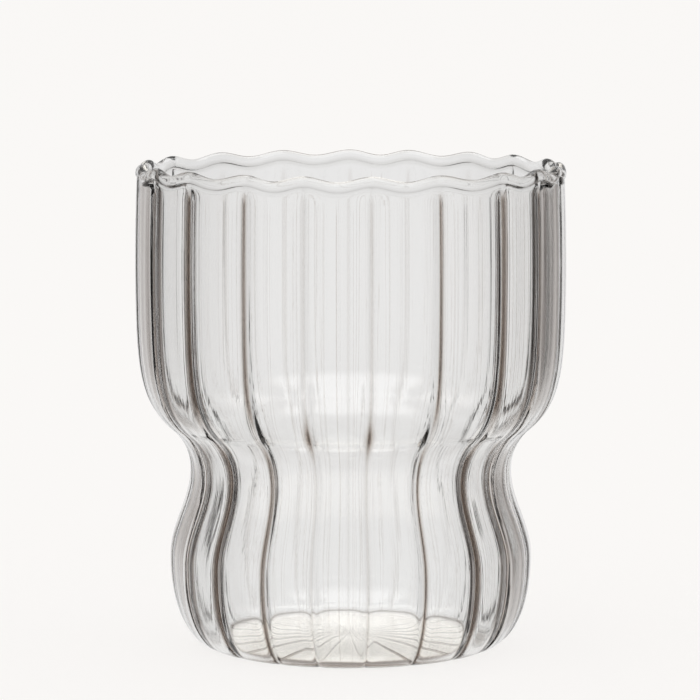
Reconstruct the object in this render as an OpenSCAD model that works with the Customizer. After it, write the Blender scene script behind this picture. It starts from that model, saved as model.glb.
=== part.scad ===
// A chai glass blown in one piece: a wide bowl over a narrow waist and a bulb-shaped foot.
// Lobes bulge outward between sharp creases that run from the rim down to the foot.
// The origin is the middle of the flat foot, and +Z runs up through the mouth.

/* [Overall size] */
// Greatest outside diameter of the bowl, measured over the lobes
bowl_d = 80; // [74:0.5:90]
// Height of the glass up to the highest points of the rim
glass_h = 90; // [80:0.5:110]

/* [Foot and bulb] */
// How far the bulb above the foot stays inside the bowl's widest ring, on the radius
bulb_in = 6.3; // [4:0.1:9]
// Height of the widest ring of the bulb
bulb_z = 17; // [13:0.5:21]
// How far the flat face that the glass stands on stays inside the bulb, on the radius
foot_in = 8.7; // [5:0.1:11]

/* [Waist and shoulder] */
// How far the narrowest ring of the waist stays inside the bowl's widest ring, on the radius
waist_in = 10.1; // [8.5:0.1:13]
// Height of the narrowest ring of the waist
waist_z = 33; // [27:0.5:38]
// Radius of the hollow curve that leads up out of the waist
waist_curve_r = 10.4; // [8:0.2:13]
// Steepest lean of the shoulder, in degrees from upright
shoulder_lean = 50; // [35:1:58]

/* [Rim] */
// How far the bowl draws in towards its mouth, on the radius
mouth_draw_in = 0.5; // [0:0.1:2]
// How far the rounded rim stands proud of the wall on each side
rim_proud = 0.3; // [0:0.05:0.8]
// How much higher the rim is at a crease than in the middle of a lobe
rim_wave = 1; // [0:0.1:2]

/* [Thickness] */
// Thickness of the wall
wall_t = 1.7; // [1.4:0.1:2.4]
// Thickness of the floor round its edge
floor_t = 1.3; // [1:0.1:4]
// How much thicker the floor gets towards its middle
floor_rise = 0.8; // [0:0.1:2]
// How far the floor inside stops short of the edge of the foot
heel_in = 0; // [0:0.5:6]

/* [Lobes] */
// Number of lobes around the glass
lobe_count = 20; // [12:1:24]
// Depth of the creases outside, below the crests of the lobes
crease_depth = 1.45; // [0.8:0.05:1.9]
// Height of the softer ridges that the creases raise inside
ridge_depth = 1.27; // [0.8:0.01:1.5]
// Height of the ridges where they run out over the floor
floor_ridge = 0.1; // [0:0.1:0.6]
// Depth of the creases left in the rounded rim
bead_crease = 0.3; // [0:0.1:1]
// How far below the rim the creases fade
crease_fade = 2.5; // [1:0.5:8]

/* [Hidden] */

bowl_r = bowl_d / 2;
bulb_r = bowl_r - bulb_in;
waist_r = bowl_r - waist_in;
foot_r = bulb_r - foot_in;
well_r = foot_r - heel_in;

// Height share of the bowl above which it starts to draw in
draw_in_share = 0.75;
draw_in_z = glass_h * draw_in_share;

// Top of the hollow curve, where the shoulder starts to round over into the bowl
shoulder_r = waist_r + waist_curve_r * (1 - cos(shoulder_lean));
shoulder_z = waist_z + waist_curve_r * sin(shoulder_lean);
shoulder_run = (bowl_r - shoulder_r) / tan(shoulder_lean);

// How square the heel is outside and inside, where 2 is a plain quarter of an ellipse
heel_power = 2.2;
well_power = 2.1;

// The rim is a round bead on the top of the wall
rim_d = wall_t + 2 * rim_proud;
rim_z = glass_h - rim_d / 2;
rim_start = acos(wall_t / rim_d);
rim_foot_z = rim_z - rim_d / 2 * sin(rim_start);
rim_r = bowl_radius(rim_z) - wall_t / 2;
fade_z = rim_foot_z - crease_fade;

// Steps of the rings along each stretch of the section, and of the points across a lobe
heel_steps = 5;
bulb_steps = 4;
waist_steps = 3;
bowl_steps = 7;
rim_steps = 8;
lobe_steps = 6;
disc_facets = 96;
points_round = lobe_count * lobe_steps;

// Radius of the disc that levels the underside of the foot, as a share of the foot's
foot_disc_share = 0.92;

// How the heights of the rings crowd together at the shoulder, as a power of their share
bowl_crowding = 1.6;
// How strongly the points across a lobe crowd towards its creases
crease_crowding = 0.78;
// How fast the wave of the rim dies away down the bowl, as a power of the share of its height
wave_fading = 6;

// How far each crease strays from even spacing, as shares of the width of a lobe,
// starting at the crease nearest the front and going round to the right
crease_shift_shares = [
    0.3, 0.34, 0.47, 0.37, 0.21, 0.06, -0.08, 0.02, -0.02, 0.06,
    0.01, 0.11, 0.23, 0.42, 0.38, 0.47, 0.37, 0.32, 0.39, 0.31
];
// How deep each crease is beside the usual depth, in the same order
crease_depth_shares = [
    1, 0.85, 0.8, 0.85, 1, 1.1, 0.8, 0.6, 0.25, 0.3,
    0.4, 0.3, 0.25, 0.6, 0.9, 1, 0.75, 0.72, 0.75, 1
];

// Up to this share of the height the creases are shallower, at this share of their depth in the bowl
lower_height_share = 0.5;
lower_depth_share = 0.7;
lower_z = glass_h * lower_height_share;

// Between its creases a lobe is a broad curve with a narrow groove at each edge
groove_share = 0.72;
lobe_power = 3.2;
groove_power = 12;
ridge_power = 4.4;

function shift_share(i) = crease_shift_shares[i % lobe_count % len(crease_shift_shares)];
function crease_angle(i) = (i + shift_share(i)) * 360 / lobe_count;
function depth_share(i) = crease_depth_shares[i % lobe_count % len(crease_depth_shares)];
function between(a, b, share) = a + (b - a) * share;

// Outside radius of the bowl at height z, over the lobes
function bowl_radius(z) = bowl_r
    - (bowl_r - shoulder_r) * exp((shoulder_z - z) / shoulder_run)
    - mouth_draw_in * pow(max(0, z - draw_in_z) / (glass_h - draw_in_z), 2);

// The wall from the bulb up to the rim, each ring as radius, height and lean from upright
wall_line = concat(
    [for (i = [0 : bulb_steps - 1]) let (share = i / bulb_steps) [
        between(waist_r, bulb_r, (1 + cos(180 * share)) / 2),
        between(bulb_z, waist_z, share),
        -atan(PI / 2 * (bulb_r - waist_r) / (waist_z - bulb_z) * sin(180 * share))
    ]],
    [for (i = [0 : waist_steps - 1]) let (lean = shoulder_lean * i / waist_steps) [
        waist_r + waist_curve_r * (1 - cos(lean)),
        waist_z + waist_curve_r * sin(lean),
        lean
    ]],
    [for (i = [0 : bowl_steps])
        let (z = between(shoulder_z, fade_z, pow(i / bowl_steps, bowl_crowding))) [
        bowl_radius(z),
        z,
        atan((bowl_r - bowl_radius(z)) / shoulder_run)
    ]]
);

// A ring holds its radius, its height, how far the creases push it in and lift it,
// how soft its lobes are from 0 to 1, and its share of the wave of the rim
function wave_at(z) = pow(z / rim_foot_z, wave_fading);
function depth_at(z) = crease_depth
    * between(lower_depth_share, 1, pow(max(0, z - lower_z) / (rim_foot_z - lower_z), 0.6));

heel_rings = [for (i = [0 : heel_steps - 1]) let (a = 90 * i / heel_steps) [
    between(foot_r, bulb_r, pow(sin(a), 2 / heel_power)),
    bulb_z * (1 - pow(cos(a), 2 / heel_power)),
    depth_at(0) * sin(a),
    0,
    0,
    0
]];

outer_rings = [for (p = wall_line) [p[0], p[1], depth_at(p[1]), 0, 0, wave_at(p[1])]];

rim_rings = [for (i = [0 : rim_steps]) let (
    share = i / rim_steps,
    a = between(-rim_start, 180 + rim_start, share)
) [
    rim_r + rim_d / 2 * cos(a),
    rim_z + rim_d / 2 * sin(a),
    bead_crease,
    0,
    1,
    1
]];

inner_rings = [for (i = [len(wall_line) - 1 : -1 : 0]) let (p = wall_line[i]) [
    p[0] - wall_t * cos(p[2]),
    p[1] + wall_t * sin(p[2]),
    ridge_depth,
    0,
    1,
    wave_at(p[1])
]];

well_rings = [for (i = [1 : heel_steps]) let (a = 90 * i / heel_steps) [
    between(well_r, bulb_r - wall_t, pow(cos(a), 2 / well_power)),
    between(bulb_z, floor_t, pow(sin(a), 2 / well_power)),
    ridge_depth * cos(a),
    floor_ridge * sin(a),
    1,
    0
]];

floor_ring = [well_r / 2, floor_t + floor_rise * 3 / 4, 0, floor_ridge / 2, 1, 0];

rings = concat(heel_rings, outer_rings, rim_rings, inner_rings, well_rings, [floor_ring]);

// Share of the crease's depth across a lobe, where u runs from -1 to 1 between two creases
function groove(u) = between(pow(abs(u), lobe_power), pow(abs(u), groove_power), groove_share);
function crease_share(u, soft) = between(groove(u), pow(abs(u), ridge_power), soft);
function wave_share(u) = (1 + cos(180 * u)) / 2;

function ring_point(ring, i) = let (
    lobe = floor(i / lobe_steps),
    step_share = (i % lobe_steps) / lobe_steps,
    across = step_share - crease_crowding * sin(360 * step_share) / (2 * PI),
    a = between(crease_angle(lobe), crease_angle(lobe + 1), across),
    u = 2 * across - 1,
    crease = crease_share(u, ring[4]) * between(depth_share(lobe), depth_share(lobe + 1), across),
    r = ring[0] - ring[2] * crease,
    z = ring[1] + ring[3] * crease - rim_wave * ring[5] * wave_share(u)
) [r * sin(a), -r * cos(a), z];

module glass() {
    points = concat(
        [for (ring = rings) for (i = [0 : points_round - 1]) ring_point(ring, i)],
        [[0, 0, 0], [0, 0, floor_t + floor_rise]]
    );
    foot_middle = len(rings) * points_round;
    floor_middle = foot_middle + 1;
    last_ring = (len(rings) - 1) * points_round;
    faces = concat(
        [for (k = [0 : len(rings) - 2]) for (i = [0 : points_round - 1])
            let (j = (i + 1) % points_round, low = k * points_round, high = low + points_round)
            each [[low + i, high + i, high + j], [low + i, high + j, low + j]]],
        [for (i = [0 : points_round - 1]) [foot_middle, i, (i + 1) % points_round]],
        [for (i = [0 : points_round - 1])
            [floor_middle, last_ring + (i + 1) % points_round, last_ring + i]]
    );
    color([0.88, 0.9, 0.89, 0.5]) union() {
        polyhedron(points, faces, convexity = 6);
        // A level disc within the floor makes the underside of the foot one flat face
        cylinder(h = floor_t / 2, r = foot_r * foot_disc_share, $fn = disc_facets);
    }
}

glass();
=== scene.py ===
import math
import bpy
import numpy as np
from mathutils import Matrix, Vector


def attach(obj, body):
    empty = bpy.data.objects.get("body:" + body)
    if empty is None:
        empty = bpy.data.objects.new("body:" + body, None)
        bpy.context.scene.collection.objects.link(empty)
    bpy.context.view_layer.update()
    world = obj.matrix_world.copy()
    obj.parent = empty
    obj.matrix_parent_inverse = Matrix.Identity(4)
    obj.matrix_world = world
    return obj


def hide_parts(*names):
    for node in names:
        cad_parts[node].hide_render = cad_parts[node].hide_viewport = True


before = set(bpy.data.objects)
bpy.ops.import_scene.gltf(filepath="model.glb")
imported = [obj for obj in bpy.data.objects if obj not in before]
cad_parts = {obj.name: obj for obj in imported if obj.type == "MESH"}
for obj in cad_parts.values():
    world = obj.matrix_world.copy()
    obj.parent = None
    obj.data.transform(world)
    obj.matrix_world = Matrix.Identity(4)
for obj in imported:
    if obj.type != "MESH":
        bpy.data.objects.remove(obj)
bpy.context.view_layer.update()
bpy.context.scene.view_settings.view_transform = "Standard"
print("frame loaded")

mm = 0.001


class Value:
    # a socket that sums and products can be written with
    def __init__(self, shader, socket):
        self.shader = shader
        self.socket = socket

    def output(self, name):
        # another output of the same node
        return Value(self.shader, self.socket.node.outputs[name])

    def math(self, operation, a, b):
        return self.shader.node("ShaderNodeMath", {"operation": operation}, [a, b])

    def __add__(self, other):
        return self.math("ADD", self, other)

    def __radd__(self, other):
        return self.math("ADD", other, self)

    def __mul__(self, other):
        return self.math("MULTIPLY", self, other)

    def __rmul__(self, other):
        return self.math("MULTIPLY", other, self)

    def largest(self, other):
        return self.math("MAXIMUM", self, other)


class Shader:
    def __init__(self, tree):
        self.tree = tree
        tree.nodes.clear()

    def node(self, kind, settings=None, values=None, output=0):
        made = self.tree.nodes.new(kind)
        for name, setting in (settings or {}).items():
            setattr(made, name, setting)
        pairs = values.items() if isinstance(values, dict) else enumerate(values or [])
        for key, value in pairs:
            if isinstance(value, Value):
                self.tree.links.new(value.socket, made.inputs[key])
            elif value is not None:
                made.inputs[key].default_value = value
        return Value(self, made.outputs[output]) if made.outputs else made


def newMaterial(name):
    material = bpy.data.materials.new(name)
    material.use_nodes = True
    return material, Shader(material.node_tree)


def between(a, b, share):
    return a + (b - a) * share


def smoothShare(x, start, end):
    share = np.clip((x - start) / (end - start), 0, 1)
    return share * share * (3 - 2 * share)


def ringFaces(rings, around, first=0):
    # the faces between rings of points that follow each other, from the point numbered first
    near = np.arange(around)
    onward = (near + 1) % around
    faces = []
    for ring in range(rings - 1):
        low = first + ring * around
        high = low + around
        faces += np.stack([low + near, low + onward, high + onward, high + near], axis=1).tolist()
    return faces


# the glass: lengths in millimetres, most of them the solid's own
glass = {
    "bowlRadius": 40.0,
    "height": 90.0,
    "footRadius": 25.0,
    "bulbRadius": 33.7,
    "bulbHeight": 17.0,
    "waistRadius": 29.9,
    "waistHeight": 33.0,
    "waistCurve": 10.4,         # radius of the hollow curve up out of the waist
    "shoulderLean": 50.0,       # degrees from upright
    "shoulderTop": 45.0,
    "mouthDrawIn": 0.5,
    "drawInShare": 0.75,        # share of the height above which the bowl draws in
    "wall": 1.7,
    "floor": 1.3,
    "floorRise": 0.8,           # how far the floor inside swells towards its middle
    "footHollow": 0.5,
    "heelPower": 2.2,           # how square the heel is, where 2 is a plain ellipse
    "innerHeelPower": 2.1,
    "rimProud": 0.3,            # how far the bead of the rim stands proud of the wall
    "rimWave": 1.0,
    "waveFading": 6.0,          # how fast the wave of the rim dies away down the bowl
    "lobes": 20,
    "lobePower": 3.2,
    "groovePower": 12.0,
    "grooveShare": 0.72,        # share of a crease's depth that lies in its narrow groove
    "creaseDepth": 1.45,
    "lowerDepthShare": 0.7,     # share of that depth that is left up to the top of the shoulder
    "depthPower": 0.6,
    "footCreaseShare": 0.5,     # share of it that is left at the edge of the foot
    "beadCrease": 0.3,
    "creaseSoftness": 0.06,     # degrees over which the heat has rounded a crease
    "ridgeDepth": 1.27,
    "ridgePower": 4.4,
    "ridgeSoftness": 0.65,      # degrees
    "floorRidge": 0.03,
    "petalDepth": 0.035,        # creases under the foot, running in to its middle
    "petalPower": 0.6,
    "petalSoftness": 0.35,      # from 0 for a sharp crease to 1 for a ridge
    # how far each crease strays from even spacing in shares of a lobe, from the front to the right
    "shiftShares": [
        0.30, 0.34, 0.47, 0.37, 0.21, 0.06, -0.08, 0.02, -0.02, 0.06,
        0.01, 0.11, 0.23, 0.42, 0.38, 0.47, 0.37, 0.32, 0.39, 0.31,
    ],
    # the depth of each crease beside the usual one
    "depthShares": [
        1.0, 0.85, 0.8, 0.85, 1.0, 1.1, 0.8, 0.6, 0.25, 0.3,
        0.4, 0.3, 0.25, 0.6, 0.9, 1.0, 0.75, 0.72, 0.75, 1.0,
    ],
    # how far below the rim each crease begins to fade out
    "creaseFading": [
        2, 2, 2, 2, 2, 3, 5, 9, 9, 9,
        9, 9, 9, 9, 5, 3, 2, 2, 2, 2,
    ],
}

# how fine the surface of the glass is
surface = {
    "pointsPerLobe": 30,
    "creaseCrowding": 0.78,     # how much the points crowd towards the creases
    "footRings": 24,
    "footCrowding": 0.8,
    "heelRings": 60,
    "bulbRings": 28,
    "waistRings": 20,
    "bowlRings": 60,
    "bowlCrowding": 1.5,        # how much the rings crowd towards the shoulder
    "rimRings": 33,
    "creaseSamples": 14400,     # samples round the glass on which the creases are softened
    "softeningReach": 4,        # how far the softening reaches, in times its spread
}

# painted shade in the folds at the bottom of the creases, and along the line where the glass meets the
# table, from 0 for clear to 1 for black:
# the widths of folds and leaves are in degrees, the other lengths in millimetres
foldShading = {
    "width": 0.6,
    "innerWidth": 0.6,
    "innerShare": 1.06,         # how dark the inner face is beside the outer one
    "endBelowRim": 3.0,
    "endFade": 2.0,
    "lowShare": 1.15,           # how dark the folds are below lowTop, beside those up in the bowl
    "lowTop": 30.0,
    "lowFade": 40.0,
    "leafHeight": 43.0,         # where a fold opens into a dark leaf of painted shade
    "leafLength": 3.5,
    "leafWidth": 0.55,
    "leafTone": 0.92,
    "leafFrom": 0.12,           # folds fainter than this have no leaf
    "sharpFrom": 0.5,           # folds darker than this are the sharp ones at the sides
    "sharpLeafTone": 0.2,
    "darkest": 0.99,            # of the outer face
    "black": 0.994,             # of all tones
    "footShadeTone": 0.97,           # the painted shade line where the glass meets the table
    "footWidth": 1.1,
    "footOffset": 0.2,
    "footHeight": 0.5,
    # the tone of the painted shade in each fold, from the front to the right: darkest on the creases either
    # side of the front, faint at the back
    "shares": [
        0.16, 0.92, 0.97, 0.98, 0.50, 0.30, 0.15, 0.10, 0.10, 0.08,
        0.08, 0.08, 0.10, 0.10, 0.15, 0.40, 0.98, 0.98, 0.92, 0.14,
    ],
}


def shoulder(size):
    # the top of the hollow curve: its radius, its height, and how fast the bowl opens from there
    lean = math.radians(size["shoulderLean"])
    radius = size["waistRadius"] + size["waistCurve"] * (1 - math.cos(lean))
    height = size["waistHeight"] + size["waistCurve"] * math.sin(lean)
    return radius, height, (size["bowlRadius"] - radius) / math.tan(lean)


def bowlRadius(z, size):
    radius, height, run = shoulder(size)
    drawInHeight = size["height"] * size["drawInShare"]
    drawn = np.clip(z - drawInHeight, 0, None) / (size["height"] - drawInHeight)
    opened = size["bowlRadius"] - (size["bowlRadius"] - radius) * np.exp((height - z) / run)
    return opened - size["mouthDrawIn"] * drawn ** 2


def rimBead(size):
    # the rounded rim: its diameter, the height of its middle, and where it leaves the wall,
    # as an angle and as a height
    diameter = size["wall"] + 2 * size["rimProud"]
    height = size["height"] - diameter / 2
    start = math.acos(size["wall"] / diameter)
    return diameter, height, start, height - diameter / 2 * math.sin(start)


def wallLine(size, top):
    # radius, height and lean from upright, from the bulb's widest ring up to the rim
    share = np.arange(surface["bulbRings"]) / surface["bulbRings"]
    drop = size["bulbRadius"] - size["waistRadius"]
    rise = size["waistHeight"] - size["bulbHeight"]
    bulb = np.stack([
        size["waistRadius"] + drop * (1 + np.cos(np.pi * share)) / 2,
        size["bulbHeight"] + rise * share,
        -np.arctan(np.pi / 2 * drop / rise * np.sin(np.pi * share)),
    ], axis=1)
    lean = math.radians(size["shoulderLean"]) * np.arange(surface["waistRings"]) / surface["waistRings"]
    waist = np.stack([
        size["waistRadius"] + size["waistCurve"] * (1 - np.cos(lean)),
        size["waistHeight"] + size["waistCurve"] * np.sin(lean),
        lean,
    ], axis=1)
    _, shoulderHeight, run = shoulder(size)
    share = (np.arange(surface["bowlRings"]) / surface["bowlRings"]) ** surface["bowlCrowding"]
    z = between(shoulderHeight, top, share)
    radius = bowlRadius(z, size)
    bowl = np.stack([radius, z, np.arctan((size["bowlRadius"] - radius) / run)], axis=1)
    return np.concatenate([bulb, waist, bowl])


def footRings(size):
    # under the foot, from its middle out to its edge
    rings = []
    evenly = np.arange(1, surface["footRings"] + 1) / (surface["footRings"] + 1)
    for share in evenly ** surface["footCrowding"]:
        rings.append([
            size["footRadius"] * share,
            size["footHollow"] * (1 - share ** 2),
            0,
            size["petalDepth"] * share ** size["petalPower"],
            size["petalSoftness"],
            0,
        ])
    return rings


def heelRings(size):
    # round the heel and up to the bulb's widest ring
    rings = []
    bend = 2 / size["heelPower"]
    depth = size["creaseDepth"] * size["lowerDepthShare"]
    for i in range(surface["heelRings"]):
        turned = math.pi / 2 * i / surface["heelRings"]
        rings.append([
            between(size["footRadius"], size["bulbRadius"], math.sin(turned) ** bend),
            size["bulbHeight"] * (1 - math.cos(turned) ** bend),
            depth * between(size["footCreaseShare"], 1, math.sin(turned)),
            size["petalDepth"] * math.cos(turned) ** 2,
            size["petalSoftness"] * math.cos(turned) ** 2,
            0,
        ])
    return rings


def beadRings(size):
    # over the rounded rim, from the outside to the inside
    diameter, height, start, _ = rimBead(size)
    middle = float(bowlRadius(height, size)) - size["wall"] / 2
    rings = []
    for i in range(surface["rimRings"]):
        turned = between(-start, math.pi + start, i / (surface["rimRings"] - 1))
        radius = middle + diameter / 2 * math.cos(turned)
        rings.append([radius, height + diameter / 2 * math.sin(turned), size["beadCrease"], 0, 1, 1])
    return rings


def wellRings(size):
    # inside the bulb, down and in over the floor to its middle
    rings = []
    bend = 2 / size["innerHeelPower"]
    for i in range(1, surface["heelRings"] + 1):
        turned = math.pi / 2 * i / surface["heelRings"]
        rings.append([
            between(size["footRadius"], size["bulbRadius"] - size["wall"], abs(math.cos(turned)) ** bend),
            between(size["bulbHeight"], size["floor"], math.sin(turned) ** bend),
            size["ridgeDepth"] * math.cos(turned),
            size["floorRidge"] * math.sin(turned),
            1,
            0,
        ])
    for share in np.arange(surface["footRings"], 0, -1) / (surface["footRings"] + 1):
        z = size["floor"] + size["floorRise"] * (1 - share ** 2)
        rings.append([size["footRadius"] * share, z, 0, size["floorRidge"] * share, 1, 0])
    return rings


def glassRings(size):
    # each ring: radius, height, push in at a crease, lift at a crease, softness, share of the rim's wave
    top = rimBead(size)[3]
    line = wallLine(size, top)
    wave = (line[:, 1] / top) ** size["waveFading"]
    risen = np.clip((line[:, 1] - size["shoulderTop"]) / (top - size["shoulderTop"]), 0, 1)
    usual = size["creaseDepth"]
    depths = between(usual * size["lowerDepthShare"], usual, risen ** size["depthPower"])
    outside = [[r, z, depth, 0, 0, w] for (r, z, _), depth, w in zip(line, depths, wave)]
    inside = []
    for (r, z, lean), w in list(zip(line, wave))[::-1]:
        across, up = size["wall"] * math.cos(lean), size["wall"] * math.sin(lean)
        inside.append([r - across, z + up, size["ridgeDepth"], 0, 1, w])
    rings = footRings(size) + heelRings(size) + outside + beadRings(size) + inside + wellRings(size)
    return np.array(rings, float)


def creaseLine(angle, creases, size, power, grooveShare, softness):
    # how far the wall is pressed in at each angle: broad lobes with a narrow groove between
    # them, rounded by the heat
    count = surface["creaseSamples"]
    fine = creases[0] + 2 * np.pi * np.arange(count) / count
    lobe = np.searchsorted(creases, fine, side="right") - 1
    lobe = np.clip(lobe, 0, size["lobes"] - 1)
    share = (fine - creases[lobe]) / (creases[lobe + 1] - creases[lobe])
    aside = np.abs(2 * share - 1)
    depths = np.array(size["depthShares"] + size["depthShares"][:1])
    line = (1 - grooveShare) * aside ** power + grooveShare * aside ** size["groovePower"]
    line *= between(depths[lobe], depths[lobe + 1], share)
    spread = softness / 360 * count
    reach = int(surface["softeningReach"] * spread)
    weights = np.exp(-0.5 * (np.arange(-reach, reach + 1) / spread) ** 2)
    closed = np.concatenate([line[-reach:], line, line[:reach]])
    line = np.convolve(closed, weights / weights.sum(), "valid")
    return np.interp(angle, fine, line, period=2 * np.pi)


def creaseLeft(push, z, angle, creases, size):
    # each crease dies out towards the rim, down to the slight one that the bead has
    fading = np.interp(angle, creases[:-1], size["creaseFading"], period=2 * np.pi)[None]
    top = size["height"] - size["wall"] - 2 * size["rimProud"]
    return between(np.minimum(push, size["beadCrease"]), push, smoothShare(top - z, 0, fading))


def foldShadeDepth(angle, creases, rings, foldShade, size):
    # painted shade: the dark line in each fold and the one where the glass meets the table, as a depth of
    # tint that darkens the glass, which grows warmer before it grows black
    radius, z, softness = rings[:, 0], rings[:, 1], rings[:, 4]
    away = (angle[:, None] - creases[None, :-1] + np.pi) % (2 * np.pi) - np.pi
    nearest = np.abs(away).argmin(axis=1)
    offset = np.degrees(np.abs(away[np.arange(len(angle)), nearest]))[None]
    leaf = np.exp(-((z - foldShade["leafHeight"]) / foldShade["leafLength"]) ** 2)[:, None]
    share = np.array(foldShade["shares"])[nearest][None]
    leafTone = np.where(share > foldShade["sharpFrom"], foldShade["sharpLeafTone"], foldShade["leafTone"])
    share = share + (leafTone - share) * leaf * (share > foldShade["leafFrom"])
    risen = np.clip((z - foldShade["lowTop"]) / foldShade["lowFade"], 0, 1)
    share = share * between(foldShade["lowShare"], 1.0, risen)[:, None]
    width = foldShade["width"] + foldShade["leafWidth"] * leaf
    outside = np.minimum(share, foldShade["darkest"]) * np.exp(-(offset / width) ** 2)
    # painted shade along the line where the glass meets the table
    beyond = (radius - size["footRadius"] - foldShade["footOffset"]) / foldShade["footWidth"]
    footShadeLine = foldShade["footShadeTone"] * np.exp(-beyond ** 2) * (z < foldShade["footHeight"])
    outside = np.maximum(outside, footShadeLine[:, None])
    inside = np.minimum(share * foldShade["innerShare"], 1.0) * np.exp(-(offset / foldShade["innerWidth"]) ** 4)
    belowRim = np.clip((size["height"] - foldShade["endBelowRim"] - z) / foldShade["endFade"], 0, 1)
    # the rim and the inner face are the soft ones
    tone = np.where((softness < 0.5)[:, None], outside, inside) * belowRim[:, None]
    return -np.log(1 - np.minimum(tone, foldShade["black"])).ravel()


def glassMesh(size):
    rings = glassRings(size)
    lobes, steps = size["lobes"], surface["pointsPerLobe"]
    shifts = np.array(size["shiftShares"] + size["shiftShares"][:1])
    creases = (np.arange(lobes + 1) + shifts) * 2 * np.pi / lobes
    step = np.arange(steps) / steps
    across = step - surface["creaseCrowding"] * np.sin(2 * np.pi * step) / (2 * np.pi)
    angle = (creases[:-1, None] + np.diff(creases)[:, None] * across[None]).ravel()
    aside = np.tile(2 * across - 1, lobes)
    sharp = creaseLine(angle, creases, size, size["lobePower"], size["grooveShare"], size["creaseSoftness"])
    soft = creaseLine(angle, creases, size, size["ridgePower"], 0.0, size["ridgeSoftness"])
    radius, z, push, lift, softness, wave = [column[:, None] for column in rings.T]
    crease = between(sharp[None], soft[None], softness)
    dip = (1 + np.cos(np.pi * aside)) / 2  # the rim is lowest in the middle of a lobe
    pressed = radius - creaseLeft(push, z, angle, creases, size) * crease
    height = z + lift * crease - size["rimWave"] * wave * dip[None]
    points = np.stack([pressed * np.sin(angle), -pressed * np.cos(angle), height], axis=2)
    count = len(angle)
    middles = [[0, 0, size["footHollow"]], [0, 0, size["floor"] + size["floorRise"]]]
    points = np.concatenate([points.reshape(-1, 3), middles]) * mm
    footMiddle, floorMiddle = len(points) - 2, len(points) - 1
    faces = ringFaces(len(rings), count)
    last = (len(rings) - 1) * count
    onward = [(i + 1) % count for i in range(count)]
    faces += [[footMiddle, onward[i], i] for i in range(count)]
    faces += [[floorMiddle, last + i, last + onward[i]] for i in range(count)]
    mesh = bpy.data.meshes.new("fluted_glass")
    mesh.from_pydata(points.tolist(), [], faces)
    mesh.polygons.foreach_set("use_smooth", [True] * len(mesh.polygons))
    mesh.update()
    # the painted shade of the folds and of the line round the foot, kept on the points
    paintedShade = mesh.attributes.new("foldShade", "FLOAT", "POINT")
    depths = np.concatenate([foldShadeDepth(angle, creases, rings, foldShading, size), [0, 0]])
    paintedShade.data.foreach_set("value", depths.tolist())
    return mesh


# the clear glass: heights and depths in millimetres
clearGlass = {
    "ior": 1.47,
    "tint": (0.995, 0.995, 0.990),
    "foldShadeTint": (0.42, 0.37, 0.335),
    "roughness": 0.0,
    "lineScale": 44.0,          # drag lines of the blowing, as a slight relief
    "lineDepth": 0.0125,
    "lineDetail": 3.0,
    "lineRoughness": 0.6,
    "hairScale": 120.0,         # hairlines among them, as a tone
    "hairDetail": 1.5,
    "hairRoughness": 0.5,
    "hairTint": (0.66, 0.62, 0.585),
    "hairDark": 0.30,           # the noise's values where a hairline is full and where it ends
    "hairClear": 0.338,
    "hairEnd": 83.0,            # they fade out above this height
    "hairFade": 3.0,
    "footHeight": 0.8,          # the worn ring that the glass stands on
    "footRoughness": 0.3,
}


def clearGlassMaterial(look):
    material, shader = newMaterial("clear_glass")
    place = shader.node("ShaderNodeTexCoord", {}, {}, "Object")
    upright = shader.node("ShaderNodeSeparateXYZ", {}, [place]).output("Z")
    flat = shader.node("ShaderNodeVectorMath", {"operation": "MULTIPLY"}, [place, (1, 1, 0)])
    # lines run all the way up the glass, so only the direction from its axis counts
    outward = shader.node("ShaderNodeVectorMath", {"operation": "NORMALIZE"}, [flat])
    lines = shader.node("ShaderNodeTexNoise", {"noise_dimensions": "3D"}, {
        "Vector": outward,
        "Scale": look["lineScale"],
        "Detail": look["lineDetail"],
        "Roughness": look["lineRoughness"],
    })
    dragged = shader.node("ShaderNodeBump", {}, {
        "Strength": 1.0, "Distance": look["lineDepth"] * mm, "Height": lines,
    })
    worn = shader.node("ShaderNodeMapRange", {"interpolation_type": "SMOOTHSTEP"}, {
        "Value": upright, "From Min": 0.0, "From Max": look["footHeight"] * mm,
        "To Min": look["footRoughness"], "To Max": look["roughness"],
    })
    hairs = shader.node("ShaderNodeTexNoise", {"noise_dimensions": "3D"}, {
        "Vector": outward,
        "Scale": look["hairScale"],
        "Detail": look["hairDetail"],
        "Roughness": look["hairRoughness"],
    })
    clear = shader.node("ShaderNodeMapRange", {}, {
        "Value": hairs, "From Min": look["hairDark"], "From Max": look["hairClear"],
    })
    above = shader.node("ShaderNodeMapRange", {}, {
        "Value": upright,
        "From Min": look["hairEnd"] * mm,
        "From Max": (look["hairEnd"] + look["hairFade"]) * mm,
    })
    # inputs 6 and 7 and output 2 are the Mix node's colours
    tint = shader.node("ShaderNodeMix", {"data_type": "RGBA"}, {
        "Factor": clear + above, 6: look["hairTint"] + (1,), 7: look["tint"] + (1,),
    }, 2)
    # the painted shade of the folds darkens the glass's tint
    foldShade = shader.node("ShaderNodeAttribute", {"attribute_name": "foldShade"}, {}, "Fac")
    paintedShade = shader.node("ShaderNodeVectorMath", {"operation": "POWER"}, [look["foldShadeTint"], foldShade])
    tint = shader.node("ShaderNodeVectorMath", {"operation": "MULTIPLY"}, [tint, paintedShade])
    bsdf = shader.node("ShaderNodeBsdfPrincipled", {}, {
        "Base Color": tint,
        "Roughness": worn,
        "IOR": look["ior"],
        "Transmission Weight": 1.0,
        "Normal": dragged,
    })
    shader.node("ShaderNodeOutputMaterial", {}, {"Surface": bsdf})
    return material


# the camera at the photograph's angle
photoView = {
    "distance": 720.0,          # from the axis of the glass, in millimetres
    "height": 137.1,
    "left": 0.14,
    "pitch": 6.5,               # degrees below level
    "focalPixels": 3896.0,
    "picturePixels": 700,
    "sensorWidth": 36.0,
    "clipStart": 0.01,          # metres
}


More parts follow.
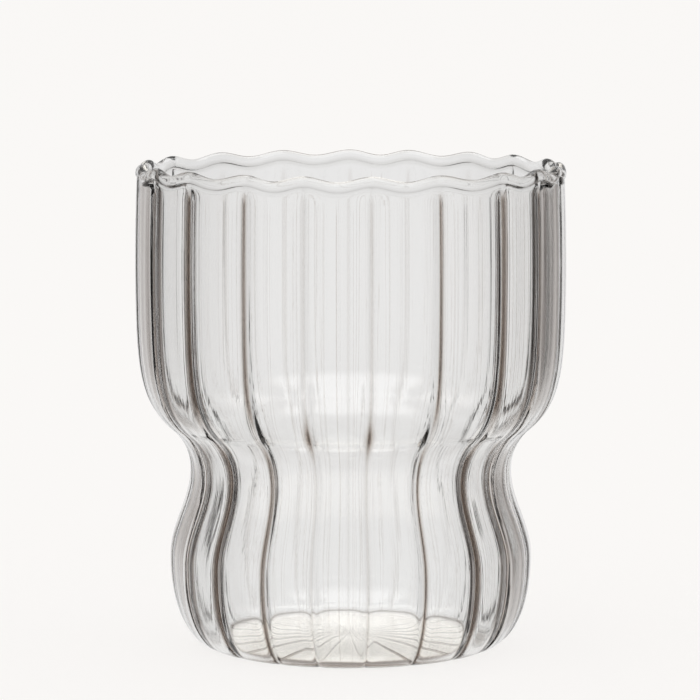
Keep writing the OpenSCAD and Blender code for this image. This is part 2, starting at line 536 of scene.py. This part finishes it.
def addCamera(view):
    data = bpy.data.cameras.new("photo_camera")
    data.sensor_width = view["sensorWidth"]
    data.lens = view["focalPixels"] / view["picturePixels"] * data.sensor_width
    data.clip_start = view["clipStart"]
    camera = bpy.data.objects.new("photo_camera", data)
    camera.location = (-view["left"] * mm, -view["distance"] * mm, view["height"] * mm)
    camera.rotation_euler = (math.radians(90 - view["pitch"]), 0, 0)
    bpy.context.collection.objects.link(camera)
    bpy.context.scene.camera = camera
    return camera


# the studio, in metres: a pale floor and background, and one soft lamp
studio = {
    "paper": (0.956, 0.939, 0.922),
    "floorSize": 20.0,
    "shadowShare": 0.12,        # share of the floor's tone that comes from the lamp, so that a shadow stays
    "ambient": 0.97,
    "lampPower": 4.0,
    "lampSize": 1.6,
    "lampPlace": (-0.9, -0.9, 2.4),
}


def lookingRays(shader):
    # 1 for the camera's rays and for those that it sees in the glass
    rays = shader.node("ShaderNodeLightPath")
    seen = rays.output("Is Camera Ray")
    for kind in ("Is Glossy Ray", "Is Transmission Ray"):
        seen = seen.largest(rays.output(kind))
    return seen


def addWorld(light):
    world = bpy.data.worlds.new("studio")
    bpy.context.scene.world = world
    world.use_nodes = True
    shader = Shader(world.node_tree)
    soft = shader.node("ShaderNodeBackground", {}, {"Color": (1, 1, 1, 1), "Strength": light["ambient"]})
    white = shader.node("ShaderNodeBackground", {}, {"Color": light["paper"] + (1,), "Strength": 1.0})
    mixed = shader.node("ShaderNodeMixShader", {}, [lookingRays(shader), soft, white])
    shader.node("ShaderNodeOutputWorld", {}, {"Surface": mixed})


def paperMaterial(light):
    # for the camera the paper shows its own colour, with some of the lamp's light and the shadow left in
    material, shader = newMaterial("paper")
    matt = shader.node("ShaderNodeBsdfDiffuse", {}, {"Color": light["paper"] + (1,)})
    white = shader.node("ShaderNodeEmission", {}, {"Color": light["paper"] + (1,), "Strength": 1.0})
    seen = lookingRays(shader) * (1 - light["shadowShare"])
    mixed = shader.node("ShaderNodeMixShader", {}, [seen, matt, white])
    shader.node("ShaderNodeOutputMaterial", {}, {"Surface": mixed})
    return material


def addFloor(light):
    size = light["floorSize"]
    corners = [(-size, -size, 0), (size, -size, 0), (size, size, 0), (-size, size, 0)]
    mesh = bpy.data.meshes.new("floor")
    mesh.from_pydata(corners, [], [[0, 1, 2, 3]])
    mesh.materials.append(paperMaterial(light))
    floor = bpy.data.objects.new("floor", mesh)
    bpy.context.collection.objects.link(floor)
    floor.visible_transmission = False
    floor.visible_glossy = False


def addLamp(light):
    lamp = bpy.data.lights.new("soft_lamp", "AREA")
    lamp.shape = "DISK"
    lamp.size = light["lampSize"]
    lamp.energy = light["lampPower"]
    hung = bpy.data.objects.new("soft_lamp", lamp)
    hung.location = light["lampPlace"]
    hung.rotation_euler = (-Vector(light["lampPlace"])).to_track_quat("-Z", "Y").to_euler()
    bpy.context.collection.objects.link(hung)


def addSeenInGlass(name, points, faces, colours, material):
    # a piece of the studio that only the glass shows, with the colours of its points
    mesh = bpy.data.meshes.new(name)
    mesh.from_pydata(points, [], faces)
    tone = mesh.color_attributes.new("tone", "FLOAT_COLOR", "POINT")
    tone.data.foreach_set("color", colours)
    mesh.materials.append(material)
    thing = bpy.data.objects.new(name, mesh)
    bpy.context.collection.objects.link(thing)
    thing.visible_camera = False
    thing.visible_diffuse = False
    thing.visible_shadow = False
    return thing


def litMaterial():
    material, shader = newMaterial("tent_cloth")
    colour = shader.node("ShaderNodeAttribute", {"attribute_name": "tone"})
    lit = shader.node("ShaderNodeEmission", {}, {"Color": colour, "Strength": 1.0})
    shader.node("ShaderNodeOutputMaterial", {}, {"Surface": lit})
    return material


# a tent of light round the glass, pale all round and with a soft box overhead, in metres
tent = {
    "radius": 2.0,
    "across": 240,
    "down": 120,
    # its colour by degrees above level
    "tones": [
        (-90, (0.92, 0.91, 0.88)),
        (-80, (0.92, 0.91, 0.88)),
        (-75, (0.34, 0.31, 0.29)),
        (-53, (0.34, 0.31, 0.29)),
        (-46, (0.83, 0.82, 0.80)),
        (-25, (0.82, 0.815, 0.81)),
        (-12, (0.82, 0.82, 0.82)),
        (-5, (0.82, 0.815, 0.815)),
        (0, (0.81, 0.805, 0.805)),
        (10, (0.75, 0.745, 0.74)),
        (25, (0.66, 0.655, 0.65)),
        (40, (0.50, 0.49, 0.48)),
        (52, (2.20, 2.20, 2.20)),
        (90, (2.20, 2.20, 2.20)),
    ],
}


def addTent(dome, material):
    degrees = [tone[0] for tone in dome["tones"]]
    channels = [[tone[1][i] for tone in dome["tones"]] for i in range(3)]
    points, colours = [], []
    for row in range(dome["down"] + 1):
        raised = math.pi * (0.5 - row / dome["down"])
        colour = [float(np.interp(math.degrees(raised), degrees, channel)) for channel in channels]
        for column in range(dome["across"]):
            turned = 2 * math.pi * column / dome["across"]
            out = math.cos(raised)
            points.append([out * math.sin(turned), out * math.cos(turned), math.sin(raised)])
            colours += colour + [1.0]
    points = (np.array(points) * dome["radius"]).tolist()
    addSeenInGlass("tent", points, ringFaces(dome["down"] + 1, dome["across"]), colours, material)


# sheer cloths that stand close round the glass and turn with the camera: dark at the sides
cloths = {
    "radius": 0.200,            # metres
    "across": 360,
    "warmth": (1.12, 1.0, 0.92),
    # the strength of the cloths at each height in metres
    "strengths": [
        (-1.0, 0),
        (-0.13, 0),
        (-0.08, 0.82),
        (0.0, 0.82),
        (0.03, 1),
        (0.7, 1),
        (0.8, 0),
        (3.0, 0),
    ],
    # the share of the tent's light that they let through, by degrees from straight ahead
    "tones": [
        (0, 1.00),
        (36, 1.00),
        (40, 0.65),
        (46, 0.60),
        (51, 0.48),
        (55, 0.26),
        (57, 0.04),
        (59, 0.28),
        (63, 0.32),
        (66, 0.02),
        (70, 0.01),
        (74, 0.22),
        (80, 0.30),
        (88, 0.10),
        (95, 0.10),
        (110, 0.50),
        (125, 1.00),
        (180, 1.00),
    ],
}


def sheerMaterial():
    material, shader = newMaterial("sheer_cloth")
    colour = shader.node("ShaderNodeAttribute", {"attribute_name": "tone"})
    sheer = shader.node("ShaderNodeBsdfTransparent", {}, {"Color": colour})
    shader.node("ShaderNodeOutputMaterial", {}, {"Surface": sheer})
    return material


def addCloths(sides, camera):
    degrees, shades = zip(*sides["tones"])
    points, colours = [], []
    for z, strength in sides["strengths"]:
        for column in range(sides["across"]):
            turned = 2 * math.pi * column / sides["across"]
            points.append([sides["radius"] * math.sin(turned), sides["radius"] * math.cos(turned), z])
            fromAhead = math.degrees(min(turned, 2 * math.pi - turned))
            shade = between(1.0, float(np.interp(fromAhead, degrees, shades)), strength)
            colours += [shade * between(1.0, warmth, 1 - shade) for warmth in sides["warmth"]] + [1.0]
    faces = ringFaces(len(sides["strengths"]), sides["across"])
    hung = addSeenInGlass("side_cloths", points, faces, colours, sheerMaterial())
    turn = hung.constraints.new("COPY_ROTATION")
    turn.target = camera
    turn.use_x = False
    turn.use_y = False


# a painted pool of light close round the foot, brighter than the paper and seen only in the glass, in
# metres
lightPoolUnder = {
    "radius": 0.0252,
    "drop": 0.0002,             # how far it lies below the foot
    "rings": 12,
    "across": 96,
    "middle": (1.42, 1.38, 1.30),
    "edge": (0.95, 0.94, 0.91),
    "edgeShare": 0.93,          # share of the radius from which it fades into the edge's colour
}


# lays the painted pool of light under the foot, which only the glass shows
def addLightPoolUnder(paper, material):
    rings, around = paper["rings"], paper["across"]
    points, colours = [[0, 0, 0]], list(paper["middle"]) + [1.0]
    for ring in range(1, rings + 1):
        share = ring / rings
        fade = float(smoothShare(share, paper["edgeShare"], 1.0))
        colour = [between(middle, edge, fade) for middle, edge in zip(paper["middle"], paper["edge"])]
        for column in range(around):
            turned = 2 * math.pi * column / around
            points.append([share * math.sin(turned), share * math.cos(turned), 0])
            colours += colour + [1.0]
    points = (np.array(points) * paper["radius"]).tolist()
    faces = [[0, 1 + (column + 1) % around, 1 + column] for column in range(around)]
    faces += ringFaces(rings, around, 1)
    laid = addSeenInGlass("light_pool_under_glass", points, faces, colours, material)
    laid.location = (0, 0, -paper["drop"])


camera = addCamera(photoView)
addWorld(studio)
addFloor(studio)
addLamp(studio)
lit = litMaterial()
addTent(tent, lit)
addCloths(cloths, camera)
addLightPoolUnder(lightPoolUnder, lit)
print("studio made")

body = bpy.data.objects.new("fluted_glass", glassMesh(glass))
bpy.context.collection.objects.link(body)
body.data.materials.append(clearGlassMaterial(clearGlass))
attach(body, "root")
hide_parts("glass")
print("glass made")
